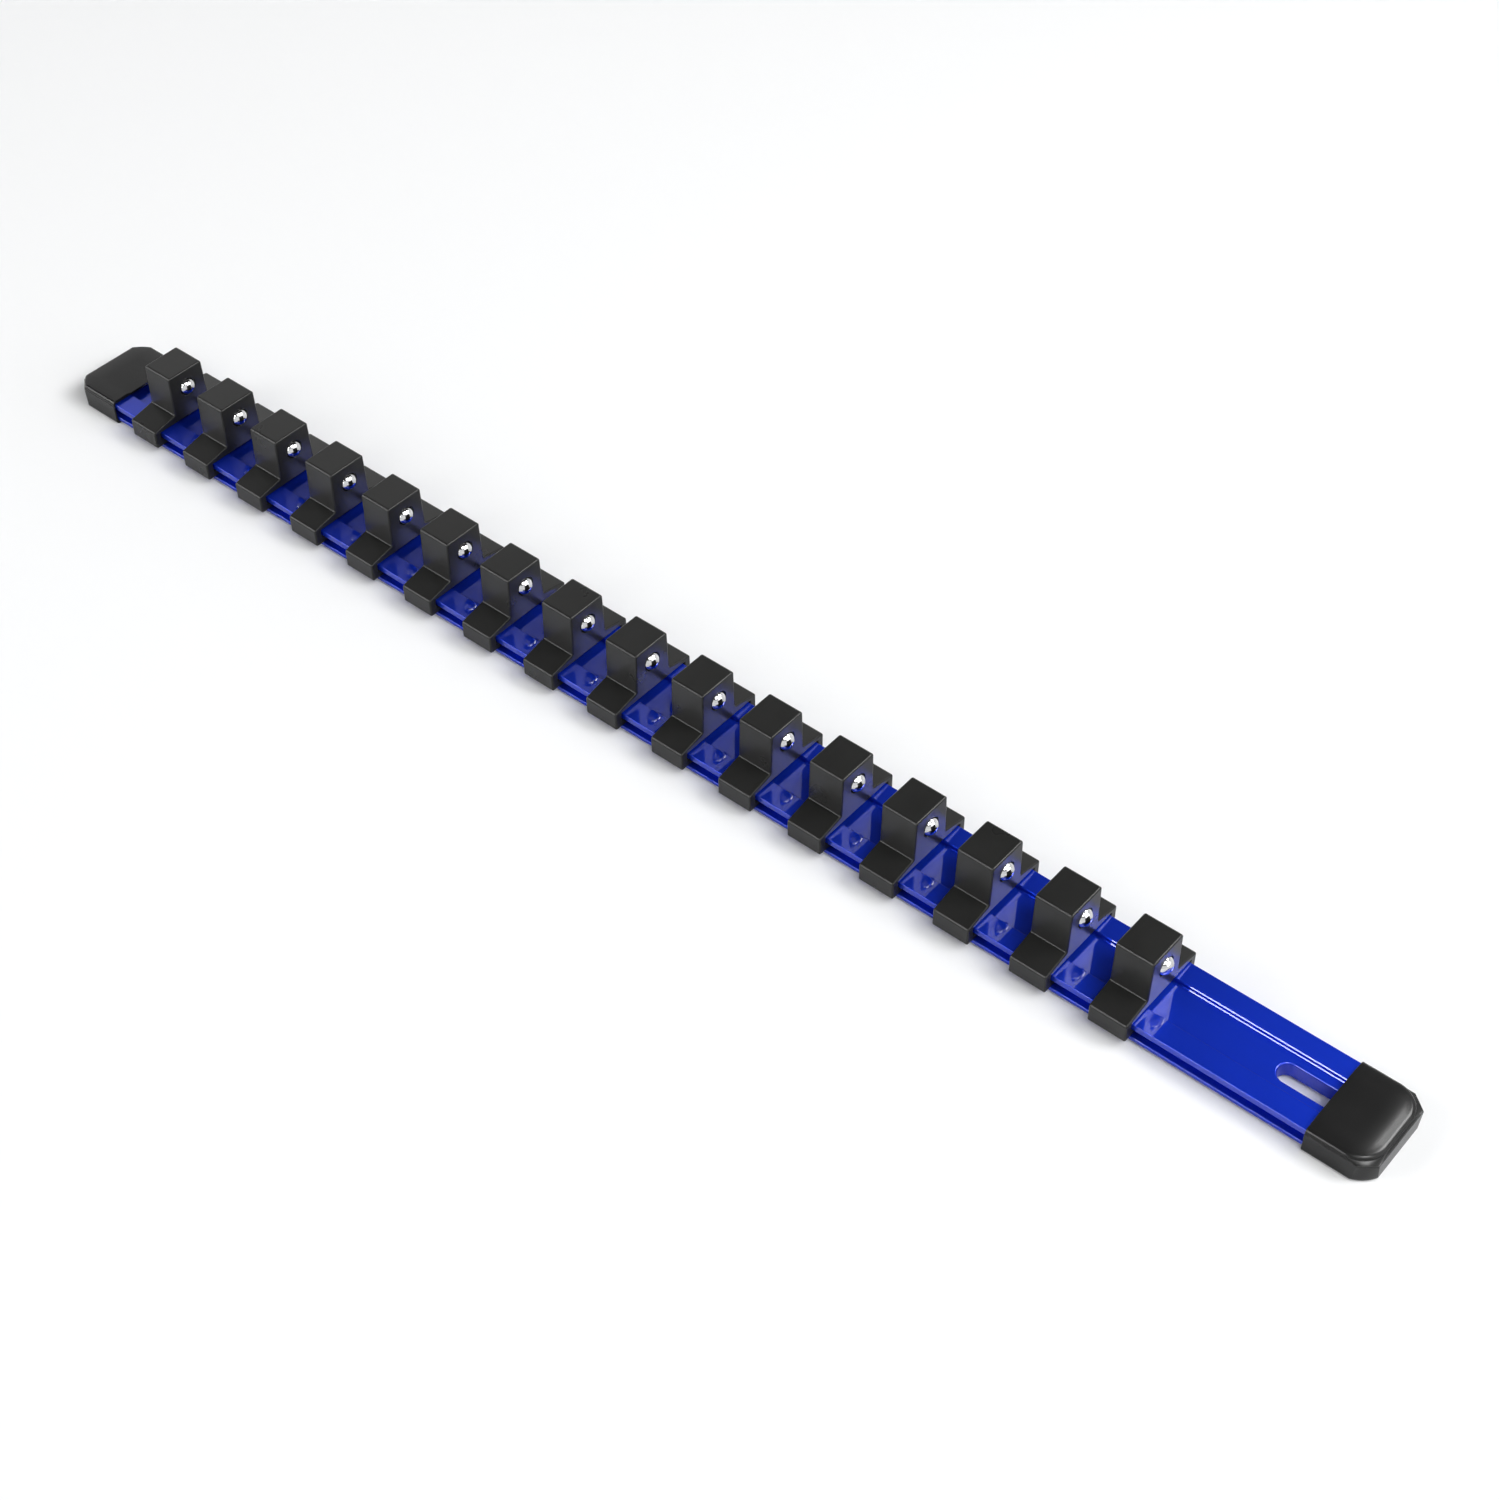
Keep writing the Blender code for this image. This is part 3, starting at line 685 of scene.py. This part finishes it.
def capGrid(sizes, length, halfWidth, topZ):
    # rings from the foot up, each (side inset, end inset, height, corner share): quarter-round foot, wall whose
    # corners turn from the arc to the straight cut, rounded edge, ledge, elliptic roundover, and a crown that
    # falls by rise (1 - s)^3
    padZ = topZ - sizes["crownRise"] - sizes["roundoverRise"]
    wallZ = padZ - sizes["ledgeRise"]
    foot, edge = sizes["footRadius"], sizes["wallEdge"]
    reach, rise = sizes["roundoverReach"], sizes["roundoverRise"]
    turn = np.linspace(0, quarterTurn, sizes["roundSteps"] + 1)

    def wallShare(z):
        return sizes["footShare"] * (1 - z / wallZ)

    def padRow(inset, z):
        return sizes["ledgeSide"] + inset, sizes["ledgeEnd"] + inset, z, sizes["padShare"]

    rows = []
    for a in turn:
        inset, z = foot * (1 - math.sin(a)), foot * (1 - math.cos(a))
        rows.append((inset, inset, z, wallShare(z)))
    rows += [(0, 0, z, wallShare(z)) for z in np.linspace(foot, wallZ - edge, sizes["roundSteps"])[1:-1]]
    for a in turn[::2]:
        inset = edge * (1 - math.cos(a))
        rows.append((inset, inset, wallZ - edge + edge * math.sin(a), wallShare(wallZ - edge)))
    rows += [padRow(reach * (1 - math.cos(a)), padZ + rise * math.sin(a)) for a in turn]
    for share in np.linspace(0, 1, sizes["crownSteps"] + 1)[1:]:
        z = topZ - sizes["crownRise"] * (1 - share) ** sizes["crownPower"]
        rows.append(padRow(reach + sizes["crownReach"] * share, z))

    rings = []
    for sideInset, endInset, z, cornerShare in rows:
        plan = capPlan(sizes, length, halfWidth, sideInset, endInset, cornerShare)
        rings.append(np.column_stack([plan, np.full(len(plan), z)]))
    return roundMouth(np.array(rings), sizes, halfWidth, topZ / 2)


def capCavityGrid(sizes, length):
    # the bar's end with its clearance, rounded along its edges and drawn in at the cut corners
    gap = sizes["clearance"]
    low, high = railLow.z - gap, railHigh.z + gap
    radius = sizes["railEndRounding"] + gap
    farX = length - sizes["endWall"]

    def section(narrowing):
        halfWidth = railHigh.y + gap - narrowing
        corners = bothSides([(halfWidth, high, radius), (halfWidth, low, radius)])
        return roundedOutline(corners, sizes["cavitySteps"])

    stations = [-meshLook["overrun"], farX - sizes["cornerCutLength"], farX]
    return sweptAlongX([section(0), section(0), section(sizes["cornerCutWidth"])], stations)


def addCaps(sizes, leftChanges):
    # both caps are made from the mouth outwards along +X, and the left one is then turned half round
    low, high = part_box("end_cap_right")
    length, halfWidth = high.x - low.x, high.y
    rightPlace = Matrix.Translation((low.x, 0, 0))
    leftPlace = Matrix.Translation((-low.x, 0, 0)) @ Matrix.Rotation(math.pi, 4, "Z")
    for node, capShape, matrix in (
        ("end_cap_right", sizes, rightPlace),
        ("end_cap_left", {**sizes, **leftChanges}, leftPlace),
    ):
        body = addPiece("cap_body", capGrid(capShape, length, halfWidth, high.z))
        cavity = addPiece("cap_cavity", capCavityGrid(capShape, length))
        mesh = carve(body, [cavity])
        mesh.transform(matrix)
        cap = placePiece(node.replace("end_cap", "moulded_cap"), mesh, capPlastic)
        softenShading(cap, sizes["sharpAngle"])
        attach(cap, "rail")
        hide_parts(node)


addCaps(capSizes, leftCapChanges)
print("end caps made")


clipSizes = {
    "base": 0.0003, "rootThickness": 0.0028, "endThickness": 0.00105,
    "postTopWidth": 0.0124, "postFootWidth": 0.0131, "postEdge": 0.0008, "postFoot": 0.0005,
    "shoulderEdge": 0.0008, "wallFoot": 0.00055, "insideEdge": 0.00008,
    "tongueReach": 0.0024, "upperLip": 0.0019, "clearance": 0.0003,
    "endEdge": 0.0005, "smallestEdge": 0.00003, "arcSteps": 6, "endSteps": 5,
}
ballSizes = {
    "diameter": 0.0054, "mouthDiameter": 0.00555, "mouthEdge": 0.0002, "lipDepth": 0.0005, "lipSlope": 0.0003,
    "boreDiameter": 0.0062, "boreDepth": 0.0085, "boreSteps": 64, "ballSteps": 72, "edgeSteps": 5,
}
springSizes = {
    "diameter": 0.0045, "wire": 0.0005, "turns": 3.5, "stepsPerTurn": 28, "wireSides": 12, "sharpAngle": 60,
}


def clipCorners(sizes, wallOutside, wallFootZ, topZ):
    # back half of the section: down the post, out along the shoulder, down the wall, and back round the tongue
    base = railHigh.z + sizes["base"]
    wallInside = railHigh.y + sizes["clearance"]
    tongueTip = wallInside - sizes["tongueReach"]
    tongueTop = railHigh.z - sizes["upperLip"] - sizes["clearance"]
    return bothSides([
        (sizes["postTopWidth"] / 2, topZ, sizes["postEdge"]),
        (sizes["postFootWidth"] / 2, base + sizes["rootThickness"], sizes["postFoot"]),
        (wallOutside, base + sizes["endThickness"], sizes["shoulderEdge"]),
        (wallOutside, wallFootZ, sizes["wallFoot"]),
        (tongueTip, wallFootZ, sizes["insideEdge"]),
        (tongueTip, tongueTop, sizes["insideEdge"]),
        (wallInside, tongueTop, sizes["insideEdge"]),
        (wallInside, base, sizes["insideEdge"]),
    ])


def clipGrid(sizes, halfLength, corners):
    # at each end the section shrinks by r (1 - cos a) while x runs the last r sin a
    radius = sizes["endEdge"]
    turn = np.linspace(0, quarterTurn, sizes["endSteps"] + 1)
    insets = radius * (1 - np.cos(turn))
    reaches = halfLength - radius + radius * np.sin(turn)
    outlines = [
        roundedOutline(insetCorners(corners, inset, sizes["smallestEdge"]), sizes["arcSteps"]) for inset in insets
    ]
    return sweptAlongX(outlines[::-1] + outlines, np.concatenate([-reaches[::-1], reaches]))


def turnedAboutX(profile, steps, centreX, centreZ):
    # point (i, j) = (x_i, r_i cos b_j, r_i sin b_j) about the line through the centre
    profile = np.asarray(profile, float)
    turn = np.linspace(0, 2 * math.pi, steps, endpoint=False)
    x = np.broadcast_to(profile[:, :1] + centreX, (len(profile), steps))
    return np.stack([x, profile[:, 1:] * np.cos(turn), centreZ + profile[:, 1:] * np.sin(turn)], axis=-1)


def boreProfile(sizes):
    # (x, radius) from outside the mouth inwards: mouth edge rounded as r (1 - cos a), retaining lip, wider bore
    edge, mouth, bore = sizes["mouthEdge"], sizes["mouthDiameter"] / 2, sizes["boreDiameter"] / 2
    turn = np.linspace(0, quarterTurn, sizes["edgeSteps"] + 1)
    flare = np.column_stack([-edge * (1 - np.cos(turn)), mouth + edge * (1 - np.sin(turn))])
    return np.concatenate([
        [(meshLook["overrun"], mouth + edge)],
        flare,
        [
            (-sizes["lipDepth"], mouth),
            (-sizes["lipDepth"] - sizes["lipSlope"], bore),
            (-sizes["boreDepth"], bore),
        ],
    ])


def ballGrid(sizes, centre):
    # (r cos u cos v, r cos u sin v, r sin u) about the centre; its poles are up and down, hidden in the bore
    steps = sizes["ballSteps"]
    up = np.linspace(-quarterTurn, quarterTurn, steps // 2 + 1)[1:-1, None]
    around = np.linspace(0, 2 * math.pi, steps, endpoint=False)
    radius = sizes["diameter"] / 2
    x = centre.x + radius * np.cos(up) * np.cos(around)
    y = centre.y + radius * np.cos(up) * np.sin(around)
    z = centre.z + radius * np.sin(up) * np.ones(steps)
    return np.stack([x, y, z], axis=-1)


def springGrid(sizes, startX, length, centreZ):
    # the wire's circle is carried along (r cos a, r sin a) while x rises evenly with a
    steps = round(sizes["turns"] * sizes["stepsPerTurn"])
    share = np.linspace(0, 1, steps + 1)
    turn = 2 * math.pi * sizes["turns"] * share
    coil, wire = (sizes["diameter"] - sizes["wire"]) / 2, sizes["wire"] / 2
    outward = np.stack([np.zeros_like(turn), np.cos(turn), np.sin(turn)], axis=-1)
    centre = outward * coil
    centre[:, 0] = startX + wire + (length - sizes["wire"]) * share
    centre[:, 2] += centreZ
    around = 2 * math.pi * np.arange(sizes["wireSides"])[:, None] / sizes["wireSides"]
    alongX = np.array([1.0, 0, 0])
    return centre[:, None] + wire * (outward[:, None] * np.cos(around) + alongX * np.sin(around))


def addClip(label, shape):
    low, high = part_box(f"clip_{label}")
    mesh = shape.copy()
    mesh.transform(Matrix.Translation(((low.x + high.x) / 2, 0, 0)))
    clip = placePiece(f"moulded_clip_{label}", mesh, clipPlastic)
    softenShading(clip)
    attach(clip, f"clip_{label}")
    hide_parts(f"clip_{label}")


def addBall(label, sizes):
    # the ball slides by itself, so it rides on its own body
    low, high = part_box(f"ball_{label}")
    ball = addPiece(f"steel_ball_{label}", ballGrid(sizes, (low + high) / 2), polishedSteel)
    closeUp(ball.data)
    ball.data.shade_smooth()
    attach(ball, f"ball_{label}")
    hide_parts(f"ball_{label}")


def addSpring(label, sizes, centreZ):
    # rides with its clip, and gets a mesh of its own
    low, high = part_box(f"spring_{label}")
    length = high.x - low.x
    spring = addPiece(f"wire_spring_{label}", springGrid(sizes, low.x, length, centreZ), springSteel)
    closeUp(spring.data)
    spring.data.shade_smooth()
    spring.data.set_sharp_from_angle(angle=math.radians(sizes["sharpAngle"]))
    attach(spring, f"clip_{label}")
    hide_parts(f"spring_{label}")
    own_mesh(spring)


def addClips(sizes, balls, springs):
    # one shape is carved from the first clip's box and copied to every place
    low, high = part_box("clip_01")
    halfLength = (high.x - low.x) / 2
    ballLow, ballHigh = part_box("ball_01")
    ballZ = (ballLow.z + ballHigh.z) / 2
    corners = clipCorners(sizes, high.y, low.z, high.z)
    body = addPiece("clip_body", clipGrid(sizes, halfLength, corners))
    bore = addPiece("bore_cutter", turnedAboutX(boreProfile(balls), balls["boreSteps"], halfLength, ballZ))
    shape = carve(body, [bore])
    for label in clipLabels:
        addClip(label, shape)
        addBall(label, balls)
        addSpring(label, springs, ballZ)


addClips(clipSizes, ballSizes, springSizes)
print("clips, balls and springs made")
